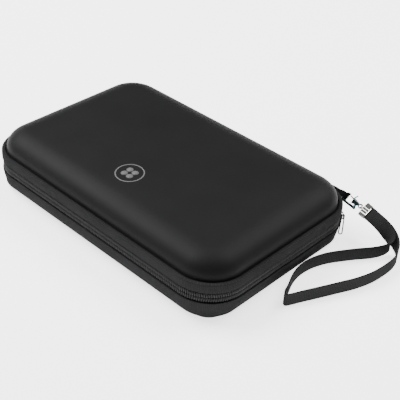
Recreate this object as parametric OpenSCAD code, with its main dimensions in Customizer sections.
// Zipped hard-shell carry case with a wrist strap on a snap hook.
// The long side runs along X, the front faces -Y and the fabric hinge runs along the back.
// The origin is on the table, under the middle of the case.

/* [Case] */
// Length over the zip bands
case_l = 220; // [180:1:270]
// Width over the zip bands
case_w = 144; // [118:1:178]
// Corner radius of the zip bands, seen from above
corner_r = 28; // [23:1:34]
// Height of the middle of the zip above the table
zip_z = 19; // [15.5:0.5:23]
// Height of the lid's top where its shoulder ends
lid_top_z = 42.5; // [38:0.5:52]
// Rise of the lid's crown above its shoulder
crown_h = 2; // [1:0.5:3]

/* [Shells] */
// Wall of the moulded foam shells
shell_t = 3.2; // [2.4:0.1:4]
// Depth of the shells' walls behind the face of the zip bands
shell_in = 2.9; // [2.4:0.1:3.6]
// Extra set-back of the lid above its band, which makes the groove
groove_in = 0.7; // [0.3:0.1:1]
// Width of the lid's rounded shoulder, seen from above
shoulder_w = 18; // [14:0.5:22]
// Width of the base's rounded foot, seen from above
foot_w = 6.2; // [4:0.1:8]
// Height of the base's rounded foot
foot_h = 12; // [9:0.5:13]
// How much tighter than the rim the corners are at the very bottom
foot_tight = 9; // [0:0.5:10]
// Thickness of the fabric linings
lining_t = 0.8; // [0.5:0.1:1.2]

/* [Zip bands] */
// Distance from the middle of the zip to the edge of each band
zip_half = 3.7; // [3.4:0.1:4.5]
// Distance from the middle of the zip to the top of the lid's band
lid_band_top = 10.5; // [8.8:0.1:13]
// Height of the base band's lower edge above the table
base_band_z = 3.5; // [2.5:0.1:5]
// Thickness of the zip tapes
tape_t = 0.6; // [0.4:0.1:0.8]
// Distance from the middle of the zip to the sewn edge of each tape
tape_h = 9; // [7.5:0.1:9.5]
// Height of one row of coil teeth
coil_h = 2.85; // [2.4:0.05:3]
// Depth of the coil teeth
coil_t = 1.9; // [1.5:0.1:2]
// Space between one row of teeth and the middle of the zip
coil_space = 0.05; // [0.02:0.01:0.1]
// Angle round the back corners at which the teeth end
teeth_end = 55; // [50:1:65]
// Length of the fabric hinge along the back
spine_l = 156; // [130:1:160]
// Width of the binding inside each shell's rim
binding_t = 0.8; // [0.5:0.1:1.2]
// Height of the binding inside each shell's rim
binding_h = 5.8; // [4:0.1:6.5]

/* [Zip slider] */
// Angle round the back right corner at which the closed slider stands
slider_at = 38; // [34:1:40]
// Half of the angle that the slider covers
slider_half = 8; // [6:0.5:9]
// Space between the slider and the teeth
slider_space = 0.2; // [0.15:0.05:0.4]
// Thickness of the slider's plate
plate_t = 0.5; // [0.4:0.1:0.9]
// Radius of the bar that the pull hangs on
bar_r = 0.3; // [0.25:0.05:0.45]
// Distance from the plate to the middle of the bar
bar_out = 1.2; // [1.1:0.05:1.8]
// Radius of the pull's wire
pull_wire_r = 0.3; // [0.25:0.05:0.4]
// Distance between the centres of the pull's two bends
pull_l = 14.4; // [9:0.1:15]
// Radius of the pull's lower bend
pull_end_r = 1.2; // [1:0.1:2]

/* [Snap hook] */
// Radius of the hook's wire
hook_wire_r = 0.9; // [0.7:0.05:1]
// Radius of the hook's round nose
nose_r = 2.9; // [2.6:0.1:3.4]
// Distance of the nose's middle below the line of the swivel
nose_drop = 1; // [0.5:0.1:1.5]
// Distance from the nose to the gate's pin
gate_at = 8.9; // [8.4:0.1:9.5]
// Radius of the gate's pin
gate_pin_r = 0.5; // [0.4:0.05:0.6]
// Running clearance of the pins in their bores, on the radius
pin_space = 0.05; // [0.03:0.01:0.08]
// Radius of the swivel's stem
stem_r = 0.68; // [0.6:0.02:0.8]
// Inner radius of the fabric tab's loop
tab_r = 2.6; // [2.4:0.1:3]
// Thickness of the fabric tab's loop
tab_t = 0.7; // [0.5:0.1:0.8]
// Width of the fabric tab
tab_w = 3.6; // [3:0.1:3.9]
// Downward slope of the hook
hook_slope = 16; // [10:1:30]
// Turn of the hook towards the back
hook_turn = 3; // [0:1:10]
// Lean of the hook's flat side
hook_lean = 57; // [50:1:65]

/* [Wrist strap] */
// Width of the webbing
webbing_w = 9.5; // [8:0.1:10]
// Thickness of the webbing
webbing_t = 0.8; // [0.6:0.05:0.9]
// Length of the strap clamp
clamp_l = 4.8; // [4:0.1:6]
// Thickness of the strap clamp's sheet
clamp_t = 0.4; // [0.3:0.05:0.5]

/* [Lid pocket and emblem] */
// Thickness of the mesh pocket
mesh_t = 0.5; // [0.4:0.1:0.8]
// Distance of the pocket's mouth behind the middle of the lid
pocket_y = 20; // [0:1:30]
// Width of the elastic along the pocket's mouth
elastic_w = 8; // [6:0.5:12]
// Thickness of the elastic
elastic_t = 1.3; // [1:0.1:2]
// Radius of the printed emblem
emblem_r = 10; // [7:0.5:12]
// Distance of the emblem in front of the middle of the lid
emblem_y = 34.5; // [20:0.5:36]

/* [Hidden] */

$fn = 48;
corner_steps = 7;
touch = 0.01;

// Centres of the round corners
corner_x = case_l / 2 - corner_r;
corner_y = case_w / 2 - corner_r;

// Depths, measured inwards from the face of the zip bands
tape_in = shell_in - tape_t;
coil_in = tape_in - coil_t;
wall_in = shell_in + shell_t;
skin_in = wall_in + lining_t;
lid_in = shell_in + groove_in;
shoulder_in = lid_in + shoulder_w;

// Heights above the table
base_rim_z = zip_z - zip_half;
lid_rim_z = zip_z + zip_half;
band_top_z = zip_z + lid_band_top;
shoulder_z = band_top_z + 1;
lid_crown_z = lid_top_z + crown_h;
base_skin_z = base_rim_z - binding_h;
lid_skin_z = min(lid_rim_z + binding_h, band_top_z - 1);

// The snap hook's own frame: its X runs from the tab towards the strap, its Z across the webbing
hook_eye = [corner_x + 14, case_w / 2 + 3.2, zip_z + 6.5];
body_x0 = gate_at - 1.9;
body_x1 = gate_at + 2.7;
body_r0 = 2.1;
body_r1 = 1.25;
gate_z = 0.6;
head_x = gate_at + 1.6;
head_t = 0.6;
head_r = stem_r + 0.32;
eye_t = 0.8;
eye_in_r = 0.9;
eye_out_r = 1.7;
eye_x = body_x1 + 0.1 + eye_out_r;
barrel_x = eye_x + (eye_in_r + eye_out_r) / 2;
barrel_r = 1.15;
barrel_bore_r = 0.75;
barrel_l = 1.2;
clamp_x = barrel_x + barrel_bore_r + 0.05;
clamp_back = 0.8;
clamp_half = webbing_t + 0.25;

// The webbing's route in millimetres: a place on its middle line, and the lean of its width
strap_route = [
    [111.8, 76.3, 20.5, -57], [115.7, 76.5, 19.4, -57], [120.0, 76.8, 18.0, -53],
    [127.0, 77.2, 15.5, -42], [134.0, 77.0, 12.0, -26], [140.3, 75.0, 8.3, -10],
    [144.6, 71.2, 5.8, 0], [147.3, 65.0, 4.9, 0], [148.3, 56.0, 4.8, 0], [147.2, 41.0, 4.8, 0],
    [143.6, 27.5, 4.8, 0], [138.5, 15.5, 4.8, 0], [133.0, 3.0, 4.8, 0], [128.0, -8.0, 4.8, 0],
    [125.0, -15.0, 4.8, 0], [123.0, -18.0, 4.8, 0], [120.6, -16.0, 4.8, 0],
    [118.3, -10.0, 4.8, 0], [113.9, 0.0, 4.8, 0], [111.7, 9.0, 4.8, 0], [111.7, 18.5, 4.8, 0],
    [113.6, 27.0, 4.8, 0], [117.0, 35.5, 4.8, 0], [125.4, 49.5, 4.8, 0], [132.6, 60.0, 4.8, 0],
    [136.6, 67.5, 5.4, 4], [137.8, 72.0, 7.4, 12], [135.6, 75.0, 10.4, 24],
    [131.5, 76.1, 13.2, 35], [126.7, 76.3, 15.9, 43], [120.2, 76.2, 18.7, 53],
    [115.9, 76.0, 20.2, 57], [112.1, 75.8, 21.3, 57]];
strap_steps = 2;

// ---- Points and sweeps round the rim ----

function arc_points(x, y, r, a0, a1) =
    [for (i = [0:corner_steps]) let (a = a0 + (a1 - a0) * i / corner_steps)
        [x + r * cos(a), y + r * sin(a)]];

// The corner radius at a depth: parallel to the rim in the wall, and softer inside it
function radius_at(d) = corner_r - min(d, wall_in) - 0.45 * max(0, d - wall_in);

// How much tighter the base's corners are at a height below the zip's tape
function tighter(z) = foot_tight * pow(max(0, 1 - z / (zip_z - tape_h)), 2);

// A closed outline at a depth inside the bands' face, and at a height
function outline(d, z) =
    let (r = max(radius_at(d) - tighter(z), 2), x = case_l / 2 - d - r, y = case_w / 2 - d - r)
    concat(arc_points(x, y, r, 0, 90), arc_points(-x, y, r, 90, 180),
           arc_points(-x, -y, r, 180, 270), arc_points(x, -y, r, 270, 360));

// An open outline from the back left corner, round the front, to the back right corner
function open_outline(d, end, tail) =
    let (r = corner_r - d, tip = tail > 0 ? [[tail, case_w / 2 - d]] : [])
    concat([for (p = tip) [-p[0], p[1]]],
           arc_points(-corner_x, corner_y, r, 180 - end, 180),
           arc_points(-corner_x, -corner_y, r, 180, 270),
           arc_points(corner_x, -corner_y, r, 270, 360),
           arc_points(corner_x, corner_y, r, 0, end), tip);

// Four-sided faces between neighbouring rows of n points
function row_faces(rows, n, wrap) =
    [for (j = [0:rows - 1]) for (i = [0:(wrap ? n - 1 : n - 2)])
        let (k = (j + 1), m = (i + 1) % n) [j * n + i, k * n + i, k * n + m, j * n + m]];

// A strip with a closed section of [depth, height] points, all the way round the case
module loop_strip(section) {
    n = len(outline(0, zip_z));
    rows = len(section);
    polyhedron(
        points = [for (p = section) for (q = outline(p[0], p[1])) [q[0], q[1], p[1]]],
        faces = [for (f = row_faces(rows, n, true)) [for (v = f) v % (rows * n)]],
        convexity = 6);
}

// The same, open across the back
module open_strip(section, end, tail) {
    n = len(open_outline(0, end, tail));
    rows = len(section);
    polyhedron(
        points = [for (p = section) for (q = open_outline(p[0], end, tail)) [q[0], q[1], p[1]]],
        faces = concat([for (f = row_faces(rows, n, false)) [for (v = f) v % (rows * n)]],
                       [[for (j = [rows - 1:-1:0]) j * n]],
                       [[for (j = [0:rows - 1]) j * n + n - 1]]),
        convexity = 6);
}

// A bowl: rows of [depth, height] from the middle outside, round the rim, to the middle inside
module bowl(section, outer_mid, inner_mid) {
    n = len(outline(0, zip_z));
    rows = len(section);
    first = rows * n;
    polyhedron(
        points = concat([for (p = section) for (q = outline(p[0], p[1])) [q[0], q[1], p[1]]],
                        [[0, 0, outer_mid], [0, 0, inner_mid]]),
        faces = concat(row_faces(rows - 1, n, true),
                       [for (i = [0:n - 1]) [first, i, (i + 1) % n]],
                       [for (i = [0:n - 1])
                           [first + 1, (rows - 1) * n + (i + 1) % n, (rows - 1) * n + i]]),
        convexity = 6);
}

// Places children in the snap hook's own frame
module at_hook() {
    translate(hook_eye) rotate([-hook_lean, hook_slope, hook_turn]) children();
}

// Places children at an angle round the back right corner, with X pointing outwards
module at_corner(angle) {
    translate([corner_x, corner_y, 0]) rotate(angle) children();
}

// A round bar between two points in the hook's XZ plane
module flat_bar(a, b, r) {
    d = b - a;
    translate([a[0], 0, a[1]]) rotate([0, atan2(d[0], d[1]), 0]) cylinder(r = r, h = norm(d));
}

// ---- Base ----

// A foot's curve, from its flat to the wall
function foot_curve(w, h, depth) =
    [for (a = [0:18:90]) [depth + w * (1 - sin(a)), h * (1 - cos(a))]];
inner_foot_w = foot_w - 1;
inner_foot_h = base_skin_z - shell_t;

module base_shell() {
    outer = foot_curve(foot_w, foot_h, shell_in);
    inner = foot_curve(inner_foot_w, inner_foot_h, wall_in);
    color("#1d1d1f")
    bowl(concat([[50, 0], [30, 0]], outer, [[shell_in, base_rim_z], [wall_in, base_rim_z]],
                [for (i = [len(inner) - 1:-1:0]) [inner[i][0], inner[i][1] + shell_t]],
                [[30, shell_t], [50, shell_t]]), 0, shell_t);
}

module base_lining() {
    outer = foot_curve(inner_foot_w, inner_foot_h, wall_in);
    inner = foot_curve(inner_foot_w - 0.5, inner_foot_h - lining_t, skin_in);
    lift = shell_t + lining_t;
    color("#2b2b2e")
    bowl(concat([[50, shell_t], [30, shell_t]],
                [for (p = outer) [p[0], p[1] + shell_t]],
                [for (i = [len(inner) - 1:-1:0]) [inner[i][0], inner[i][1] + lift]],
                [[30, lift], [50, lift]]), shell_t, lift);
}

module base_binding() {
    color("#151516")
    loop_strip([[shell_in, base_rim_z], [shell_in, base_rim_z + binding_t],
                [wall_in + binding_t, base_rim_z + binding_t],
                [wall_in + binding_t, base_skin_z], [wall_in, base_skin_z],
                [wall_in, base_rim_z]]);
}

// The woven band follows the shell's foot on its inner side and a fuller curve outside
module base_band() {
    inner = [for (p = foot_curve(foot_w, foot_h, shell_in)) if (p[1] > base_band_z) p];
    full = foot_curve(foot_w + shell_in - 0.4, base_rim_z + 1, 0);
    outer = [for (p = full) if (p[1] > base_band_z && p[1] < base_rim_z - 0.4) p];
    color("#303032")
    loop_strip(concat(
        [[shell_in, zip_z - tape_h], [tape_in, zip_z - tape_h], [tape_in, base_rim_z],
         [0.4, base_rim_z], [0, base_rim_z - 0.4]],
        [for (i = [len(outer) - 1:-1:0]) outer[i]],
        [[outer[0][0] + 0.6, base_band_z], [inner[0][0] + 0.7, base_band_z]],
        [for (p = inner) if (p[1] < zip_z - tape_h - 0.5) p]));
}

module base_zip_tape() {
    color("#1a1a1b")
    open_strip([[tape_in, zip_z - tape_h], [shell_in, zip_z - tape_h],
                [shell_in, zip_z - coil_space * 2], [tape_in, zip_z - coil_space * 2]],
               90, spine_l / 2);
}

module base_coil() {
    top = zip_z - coil_space;
    color("#232325")
    open_strip([[coil_in, top - coil_h], [tape_in, top - coil_h], [tape_in, top],
                [coil_in, top]], teeth_end, 0);
}

// Two short clips close the ends of the teeth
module zip_stops() {
    stop_angle = 4;
    for (side = [0, 1]) mirror([side, 0, 0]) color("#3a3a3c")
        translate([corner_x, corner_y, 0])
            rotate_extrude(angle = stop_angle, start = teeth_end + 1)
                translate([corner_r - tape_in + touch, zip_z - coil_h])
                    square([coil_t, coil_h - coil_space * 2]);
}

// The fabric hinge lies behind both bands and closes the space between them along the back
module spine() {
    color("#262628")
    translate([-spine_l / 2 + coil_space, 0, 0]) rotate([90, 0, 90])
        linear_extrude(spine_l - coil_space * 2) {
            translate([case_w / 2 - shell_in, zip_z - tape_h])
                square([tape_t, 2 * tape_h]);
            translate([case_w / 2 - tape_in, base_rim_z])
                square([tape_in - 0.5, 2 * zip_half]);
        }
}

// ---- Lid ----

// The lid's rounded shoulder, from the top inwards edge down to the wall
function shoulder(w, z0, z1, depth) =
    [for (a = [90:-18:0]) [depth + w * (1 - cos(a)), z0 + (z1 - z0) * sin(a)]];

// Height of the crown at a depth inside the rim
function crown_at(d, z) =
    let (reach = case_w / 2 - shoulder_in, s = (case_w / 2 - d) / reach)
    z + crown_h * (1 - s * s);

module lid_shell() {
    top_in = lid_top_z - shell_t;
    curve_in = shoulder(shoulder_w - shell_t, shoulder_z, top_in, lid_in + shell_t);
    color("#222224")
    bowl(concat([for (d = [50, 40, 30]) [d, crown_at(d, lid_top_z)]],
                shoulder(shoulder_w, shoulder_z, lid_top_z, lid_in),
                [[lid_in, band_top_z], [shell_in, band_top_z - 0.6], [shell_in, lid_rim_z],
                 [wall_in, lid_rim_z], [wall_in, band_top_z - 0.6]],
                [for (i = [len(curve_in) - 1:-1:0]) curve_in[i]],
                [for (d = [30, 40, 50]) [d, crown_at(d, top_in)]]),
         lid_crown_z, lid_crown_z - shell_t);
}

module lid_lining() {
    top_in = lid_top_z - shell_t;
    top_skin = top_in - lining_t;
    outer = shoulder(shoulder_w - shell_t, shoulder_z, top_in, lid_in + shell_t);
    inner = shoulder(shoulder_w - shell_t - lining_t, shoulder_z, top_skin,
                     lid_in + shell_t + lining_t);
    color("#2b2b2e")
    bowl(concat([for (d = [50, 40, 30]) [d, crown_at(d, top_in)]], outer,
                [[wall_in, band_top_z - 0.6], [wall_in, lid_skin_z], [skin_in, lid_skin_z],
                 [skin_in, band_top_z - 0.6]],
                [for (i = [len(inner) - 1:-1:0]) inner[i]],
                [for (d = [30, 40, 50]) [d, crown_at(d, top_skin)]]),
         lid_crown_z - shell_t, lid_crown_z - shell_t - lining_t);
}

module lid_binding() {
    color("#151516")
    loop_strip([[wall_in, lid_rim_z], [wall_in, lid_skin_z], [wall_in + binding_t, lid_skin_z],
                [wall_in + binding_t, lid_rim_z - binding_t], [shell_in, lid_rim_z - binding_t],
                [shell_in, lid_rim_z]]);
}

module lid_band() {
    color("#333335")
    loop_strip([[tape_in, lid_rim_z], [tape_in, zip_z + tape_h], [shell_in, zip_z + tape_h],
                [shell_in, band_top_z - 0.6], [shell_in - 0.2, band_top_z],
                [1.2, band_top_z], [0.3, band_top_z - 0.6], [0, band_top_z - 1.8],
                [0, lid_rim_z + 0.4], [0.4, lid_rim_z]]);
}

module lid_zip_tape() {
    color("#1a1a1b")
    open_strip([[tape_in, zip_z + coil_space * 2], [shell_in, zip_z + coil_space * 2],
                [shell_in, zip_z + tape_h], [tape_in, zip_z + tape_h]], 90, spine_l / 2);
}

module lid_coil() {
    low = zip_z + coil_space;
    color("#232325")
    open_strip([[coil_in, low], [tape_in, low], [tape_in, low + coil_h],
                [coil_in, low + coil_h]], teeth_end, 0);
}

module mesh_pocket() {
    color("#39393b")
    translate([0, 0, lid_rim_z + 3.4]) linear_extrude(mesh_t)
        intersection() {
            polygon(outline(skin_in, lid_rim_z));
            translate([-case_l / 2, pocket_y - elastic_w - case_w]) square([case_l, case_w]);
        }
}

module pocket_elastic() {
    x = case_l / 2 - skin_in;
    color("#1c1c1d")
    translate([-x, pocket_y - elastic_w, lid_rim_z + 3.4 - (elastic_t - mesh_t) / 2])
        cube([2 * x, elastic_w, elastic_t]);
}

// A plain ring with a four-leaf figure, printed on the crown
module emblem() {
    d = case_w / 2 - emblem_y;
    reach = case_w / 2 - shoulder_in;
    slope = atan(2 * crown_h * emblem_y / (reach * reach));
    print_t = 0.15;
    ring_w = 0.9;
    color("#8f9090")
    translate([0, -emblem_y, crown_at(d, lid_top_z) + 0.1]) rotate([slope, 0, 0])
        linear_extrude(print_t) {
            difference() {
                circle(r = emblem_r);
                circle(r = emblem_r - ring_w);
            }
            for (a = [45:90:315]) rotate(a)
                translate([emblem_r * 0.36, 0]) circle(r = emblem_r * 0.24);
        }
}

// ---- Zip slider ----

plate_r = corner_r - coil_in + slider_space;
slider_low_z = base_rim_z + 0.15;
flange_t = 0.5;
bar_at_r = plate_r + plate_t + bar_out;
pull_top_r = bar_r + pull_wire_r + 0.1;

module slider_body() {
    plate_h = zip_z + 2.3 - slider_low_z;
    color("#4a4a4d") at_corner(0)
        rotate_extrude(angle = 2 * slider_half, start = slider_at - slider_half) {
            translate([plate_r, slider_low_z]) square([plate_t, plate_h]);
            translate([plate_r - 1.2, slider_low_z]) square([1.2 + touch, flange_t]);
        }
}

module slider_bridge() {
    leg = slider_half - 1;
    color("#4a4a4d") at_corner(slider_at) {
        rotate_extrude(angle = 2 * leg, start = -leg)
            translate([bar_at_r, zip_z]) circle(r = bar_r);
        for (a = [-leg, leg]) rotate(a) translate([plate_r + plate_t, 0, zip_z])
            rotate([0, 90, 0]) cylinder(r = bar_r + 0.15, h = bar_out + bar_r);
    }
}

// A closed wire loop over the bar, wider at its lower bend
module pull_loop() {
    rise = asin((pull_end_r - pull_top_r) / pull_l);
    side = pull_l * cos(rise);
    sunk = 0.1;
    color("#121213") at_corner(slider_at) translate([bar_at_r, 0, zip_z]) rotate([90, 0, 0]) {
        rotate_extrude(angle = 180 - 2 * rise, start = rise)
            translate([pull_top_r, 0]) circle(r = pull_wire_r, $fn = 24);
        translate([0, -pull_l, 0])
            rotate_extrude(angle = 180 + 2 * rise, start = 180 - rise)
                translate([pull_end_r, 0]) circle(r = pull_wire_r, $fn = 24);
        for (m = [0, 1]) mirror([m, 0, 0]) rotate(rise)
            translate([pull_top_r, sunk, 0]) rotate([90, 0, 0])
                cylinder(r = pull_wire_r - touch, h = side + 2 * sunk, $fn = 24);
    }
}

// ---- Tab, snap hook and clamp ----

// A folded ribbon, sewn flat to the lid's band at the back and looped round the hook
module strap_tab() {
    outer_r = tab_r + tab_t;
    sewn_x = corner_x - 2;
    sewn_l = 10;
    sewn_z = zip_z + 7.8 - tab_w / 2;
    sewn_t = 2 * tab_t - 0.3;
    color("#161617") {
        at_hook() translate([0, 0, -nose_drop]) difference() {
            translate([0, 0, -tab_w / 2]) cylinder(r = outer_r, h = tab_w);
            translate([0, 0, -tab_w / 2 - 1]) cylinder(r = tab_r, h = tab_w + 2);
        }
        hull() {
            at_hook() translate([-outer_r - 0.4, -tab_t, -nose_drop - tab_w / 2])
                cube([0.7, 2 * tab_t, tab_w]);
            translate([sewn_x - 1, case_w / 2, sewn_z]) cube([1, sewn_t, tab_w]);
        }
        translate([sewn_x - sewn_l, case_w / 2, sewn_z]) cube([sewn_l, sewn_t, tab_w]);
    }
}

// The fixed hook: a long lower arm, the round nose and a short tip, on a tapered body
module hook_body() {
    slot_w = 1.6;
    sunk = 0.12;
    low_z = -nose_drop - nose_r;
    tip_z = nose_r - nose_drop;
    boss = [gate_at + 1.9, low_z + 0.2];
    color("#46494c") at_hook() difference() {
        union() {
            translate([nose_r, 0, -nose_drop]) rotate([90, 0, 0])
                rotate_extrude(angle = 180, start = 90)
                    translate([nose_r, 0]) circle(r = hook_wire_r, $fn = 32);
            flat_bar([nose_r - sunk, low_z], boss, hook_wire_r - touch);
            flat_bar([nose_r - sunk, tip_z], [nose_r + 0.4, tip_z], hook_wire_r - touch);
            flat_bar(boss, [gate_at + 0.6, 0], hook_wire_r);
            translate([boss[0], 0, boss[1]]) sphere(r = hook_wire_r + 0.2, $fn = 32);
            translate([body_x0, 0, 0]) rotate([0, 90, 0])
                cylinder(r1 = body_r0, r2 = body_r1, h = body_x1 - body_x0);
        }
        // Slot for the gate
        translate([body_x0 - 1, -slot_w / 2, -0.9]) cube([4.2, slot_w, 4]);
        // Bore for the gate's pin
        translate([gate_at, 3, gate_z]) rotate([90, 0, 0]) cylinder(r = gate_pin_r, h = 6);
        // Room for the swivel's head, and the bore for its stem
        translate([head_x - pin_space, 0, 0]) rotate([0, 90, 0])
            cylinder(r = head_r + pin_space, h = head_t + 2 * pin_space);
        translate([head_x, 0, 0]) rotate([0, 90, 0])
            cylinder(r = stem_r + pin_space, h = body_x1 - head_x + 1);
    }
}

// The sprung gate closes the hook between its tip and its body, and has a thumb lever
module hook_gate() {
    gate_w = 0.9;
    gate_y = -0.3;
    gate_r = 0.42;
    pivot = [gate_at, gate_z];
    tip = [nose_r + 1, nose_r - nose_drop - 0.4];
    lever = [gate_at - 2.3, gate_z + 0.5];
    color("#55585b") at_hook() difference() {
        union() {
            translate([pivot[0], gate_y + gate_w / 2, pivot[1]]) rotate([90, 0, 0])
                cylinder(r = 1.1, h = gate_w);
            translate([0, gate_y, 0]) flat_bar(pivot, tip, gate_r);
            translate([0, gate_y, 0]) flat_bar(lever, [gate_at - 1.3, 4.4], gate_r);
        }
        translate([pivot[0], 3, pivot[1]]) rotate([90, 0, 0])
            cylinder(r = gate_pin_r + pin_space, h = 6);
    }
}

module gate_pin() {
    color("#808386") at_hook() translate([gate_at, 1.8, gate_z]) rotate([90, 0, 0])
        cylinder(r = gate_pin_r, h = 3.6);
}

module gate_spring() {
    color("#a0a2a4") at_hook() translate([gate_at, 0.7, gate_z]) rotate([90, 0, 0])
        difference() {
            cylinder(r = 0.95, h = 0.45);
            translate([0, 0, -1]) cylinder(r = gate_pin_r + pin_space, h = 3);
        }
}

// A headed stem that turns in the hook's body, with a flat eye for the clamp
module swivel_eye() {
    color("#7d8083") at_hook() difference() {
        union() {
            translate([head_x, 0, 0]) rotate([0, 90, 0]) cylinder(r = head_r, h = head_t);
            translate([head_x + head_t - touch, 0, 0]) rotate([0, 90, 0])
                cylinder(r = stem_r, h = eye_x - eye_in_r - head_x - head_t - 0.3);
            translate([eye_x, eye_t / 2, 0]) rotate([90, 0, 0]) cylinder(r = eye_out_r, h = eye_t);
        }
        translate([eye_x, eye_t, 0]) rotate([90, 0, 0]) cylinder(r = eye_in_r, h = 2 * eye_t);
    }
}

// A folded sheet over the webbing's two ends, with a rolled barrel round the swivel's eye
module strap_clamp() {
    side = webbing_w / 2 + 0.25;
    color("#c9cbcd") at_hook() difference() {
        union() {
            translate([clamp_x, -clamp_half - clamp_t, -side])
                cube([clamp_l, 2 * (clamp_half + clamp_t), 2 * side]);
            translate([barrel_x, 0, -barrel_l / 2]) cylinder(r = barrel_r, h = barrel_l);
        }
        translate([clamp_x + clamp_back, -clamp_half, -side - 1])
            cube([clamp_l, 2 * clamp_half, 2 * side + 2]);
        translate([barrel_x, 0, -side]) cylinder(r = barrel_bore_r, h = 2 * side);
    }
}

// ---- Wrist strap ----

// A smooth curve through the route's own points
function curve_at(a, b, c, d, t) =
    0.5 * (2 * b + (c - a) * t + (2 * a - 5 * b + 4 * c - d) * t * t
           + (3 * b - a - 3 * c + d) * t * t * t);
function route_at(i) = strap_route[max(0, min(len(strap_route) - 1, i))];
function fine_route() =
    concat([for (i = [0:len(strap_route) - 2]) for (k = [0:strap_steps - 1])
               curve_at(route_at(i - 1), route_at(i), route_at(i + 1), route_at(i + 2),
                        k / strap_steps)],
           [strap_route[len(strap_route) - 1]]);
function place(p) = [p[0], p[1], p[2]];
function unit(v) = v / norm(v);

module wrist_strap() {
    route = fine_route();
    n = len(route);
    rings = [for (i = [0:n - 1])
        let (along = unit(place(route[min(i + 1, n - 1)]) - place(route[max(i - 1, 0)])),
             side = unit(cross(along, [0, 0, 1])),
             up = cross(side, along),
             lean = route[i][3],
             wide = (up * cos(lean) + side * sin(lean)) * webbing_w / 2,
             thick = unit(cross(wide, along)) * webbing_t / 2,
             mid = place(route[i]))
        [mid + wide + thick, mid - wide + thick, mid - wide - thick, mid + wide - thick]];
    color("#1f1f20")
    polyhedron(
        points = [for (ring = rings) for (p = ring) p],
        faces = concat(
            [for (i = [0:n - 2]) for (j = [0:3]) let (k = (j + 1) % 4)
                [i * 4 + j, i * 4 + k, i * 4 + 4 + k, i * 4 + 4 + j]],
            [[3, 2, 1, 0]], [[for (j = [0:3]) (n - 1) * 4 + j]]),
        convexity = 8);
}

base_shell();
base_lining();
base_binding();
base_band();
base_zip_tape();
base_coil();
zip_stops();
spine();
lid_shell();
lid_lining();
lid_binding();
lid_band();
lid_zip_tape();
lid_coil();
mesh_pocket();
pocket_elastic();
emblem();
slider_body();
slider_bridge();
pull_loop();
strap_tab();
hook_body();
hook_gate();
gate_pin();
gate_spring();
swivel_eye();
strap_clamp();
wrist_strap();
